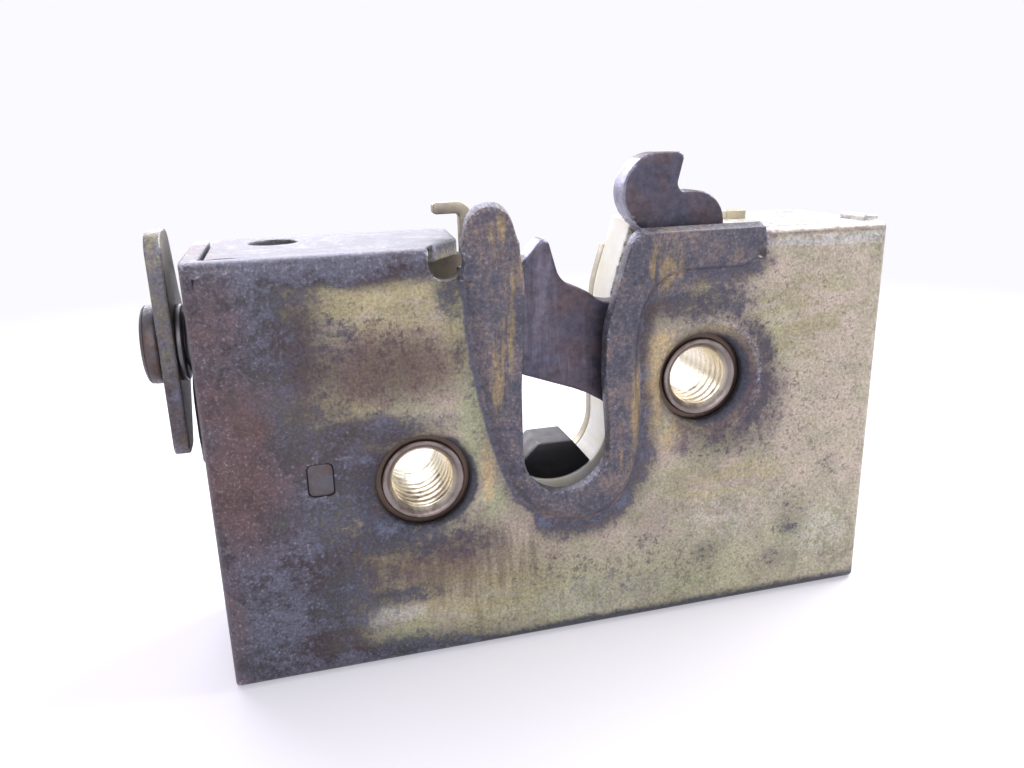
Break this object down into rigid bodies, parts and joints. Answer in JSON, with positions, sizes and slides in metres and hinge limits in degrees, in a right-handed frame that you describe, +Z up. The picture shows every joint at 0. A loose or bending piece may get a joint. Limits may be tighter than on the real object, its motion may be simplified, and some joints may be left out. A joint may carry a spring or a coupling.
{
  "type": "car door lock",
  "caption": "Worn car door lock with a claw, a pawl, threaded bushes and a slotted steel case.",
  "frame": {"origin": "centre of the bounding box in X and Y, underside of the case in Z", "axes": "+X to the right along the case, +Y from the front sheet to the back, +Z up"},
  "size_m": [0.1026, 0.0254, 0.0675],
  "materials": {
    "zinc_sheet": "worn yellow zinc with brown rust",
    "zinc_plate": "yellow zinc",
    "zinc_lever": "dirty yellow zinc",
    "dull_steel": "dull",
    "turned_steel": "turned, violet-grey zinc",
    "claw_steel": "dark, worn",
    "spring_steel": "drawn wire",
    "nylon": "satin, dirty",
    "rubber": "matt"
  },
  "bodies": {
    "case": {"lock_case": "zinc_sheet", "back_plate": "zinc_plate", "spacer_post": "dull_steel", "claw_bush": "turned_steel", "pawl_bush": "turned_steel", "claw_spring": "spring_steel", "claw_stop_pin": "dull_steel", "claw_stop_sleeve": "rubber", "pawl_spring": "spring_steel", "striker_guide": "nylon", "striker_buffer": "rubber", "release_rivet": "dull_steel", "slide_pin_upper": "dull_steel", "slide_pin_lower": "dull_steel", "slide_detent": "spring_steel", "side_rivet": "turned_steel", "side_washer": "spring_steel", "side_spring": "spring_steel"},
    "claw": {"claw": "claw_steel"},
    "pawl": {"pawl": "claw_steel", "pawl_drive_pin": "dull_steel"},
    "release_lever": {"release_lever": "zinc_plate"},
    "lock_slide": {"lock_slide": "nylon"},
    "side_lever": {"side_lever": "zinc_lever"}
  },
  "joints": [
    {"name": "claw_pivot", "type": "hinge", "parent": "case", "child": "claw", "pos_m": [0.02278, -0.0066, 0.0364], "axis": [0, -1, 0], "range_deg": [0, 68], "stiffness_Nm_per_rad": 0.3, "springref_deg": -28.65},
    {"name": "pawl_pivot", "type": "hinge", "parent": "case", "child": "pawl", "pos_m": [-0.01762, -0.00685, 0.0261], "axis": [0, -1, 0], "range_deg": [-13, 2]},
    {"name": "release_pivot", "type": "hinge", "parent": "case", "child": "release_lever", "pos_m": [-0.01773, 0.0063, 0.05], "axis": [0, -1, 0], "range_deg": [-2.3, 14.3]},
    {"name": "side_lever_pivot", "type": "hinge", "parent": "case", "child": "side_lever", "pos_m": [-0.04793, 0.0013, 0.0453], "axis": [1, 0, 0], "range_deg": [0, 20]},
    {"name": "lock_slide_travel", "type": "slide", "parent": "case", "child": "lock_slide", "axis": [0, 0, 1], "range_m": [0, 0.00312]}
  ],
  "couplings": [
    {"joint": "release_pivot", "follows": "pawl_pivot", "ratio": -1.085},
    {"joint": "lock_slide_travel", "follows": "side_lever_pivot", "m_per_rad": 0.0089}
  ]
}
